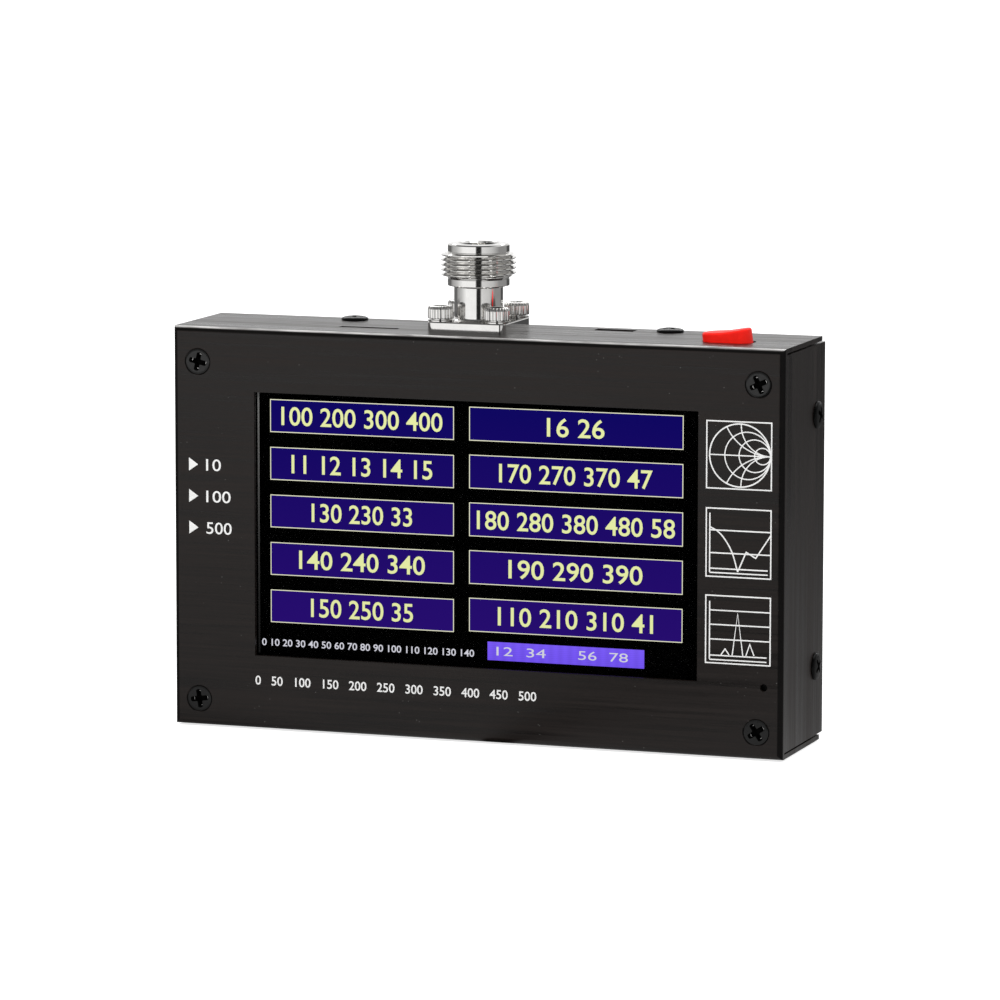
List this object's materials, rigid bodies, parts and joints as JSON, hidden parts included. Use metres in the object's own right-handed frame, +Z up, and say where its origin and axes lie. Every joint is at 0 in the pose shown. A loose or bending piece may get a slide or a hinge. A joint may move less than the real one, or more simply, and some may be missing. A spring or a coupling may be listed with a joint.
{
  "type": "antenna analyzer",
  "caption": "Hand-held antenna analyzer: a folded sheet-metal box with a touch display, a flanged coaxial jack and a rocker switch on its top edge.",
  "frame": {"origin": "on the surface that the box stands on, under the middle of the box's width and depth", "axes": "+X to the right as the display is seen, +Y from the display to the back, +Z up along the jack"},
  "size_m": [0.1378, 0.03, 0.1044],
  "materials": {
    "black_anodised": "black anodised, brushed",
    "black_screw": "black oxide",
    "nickel": "bright nickel plate over brass",
    "ptfe": "white fluoropolymer",
    "gold": "gold plated",
    "steel": "zinc plated",
    "red_cap": "moulded, satin",
    "black_moulding": "moulded",
    "gasket_foam": "foam strip",
    "touch_film": "clear film over glass",
    "screen": "dark, glossy",
    "board": "green solder mask",
    "chip": "moulded epoxy",
    "amber_film": "flexible film",
    "led": "diffused",
    "pack_wrap": "laminated foil",
    "tape": "foam tape",
    "white_plug": "moulded",
    "wire": "insulated wire"
  },
  "bodies": {
    "housing": {"front_shell": "black_anodised", "rear_cover": "black_anodised", "face_screws": "black_screw", "cover_screws": "black_screw", "cover_nuts": "steel", "jack_body": "nickel", "jack_insulator": "ptfe", "jack_contact": "gold", "jack_screws": "nickel", "jack_nuts": "steel", "jack_link": "gold", "switch_body": "black_moulding", "switch_pins": "steel", "screen_gasket": "gasket_foam", "touch_panel": "touch_film", "screen_tray": "steel", "screen_cell": "screen", "screen_flex": "amber_film", "flex_socket": "white_plug", "main_board": "board", "board_posts": "nickel", "board_screws": "steel", "processor": "chip", "card_socket": "steel", "charge_led": "led", "radio_board": "board", "board_spacers": "nickel", "spacer_screws": "steel", "radio_shield": "steel", "usb_socket": "steel", "battery_tape": "tape", "battery_pack": "pack_wrap", "battery_socket": "white_plug", "battery_plug": "white_plug", "battery_lead": "wire"},
    "rocker": {"rocker_cap": "red_cap"}
  },
  "joints": [
    {"name": "rocker_tilt", "type": "hinge", "parent": "housing", "child": "rocker", "pos_m": [0.0526, -0.0039, 0.084], "axis": [0, 1, 0], "range_deg": [0, 14]}
  ]
}
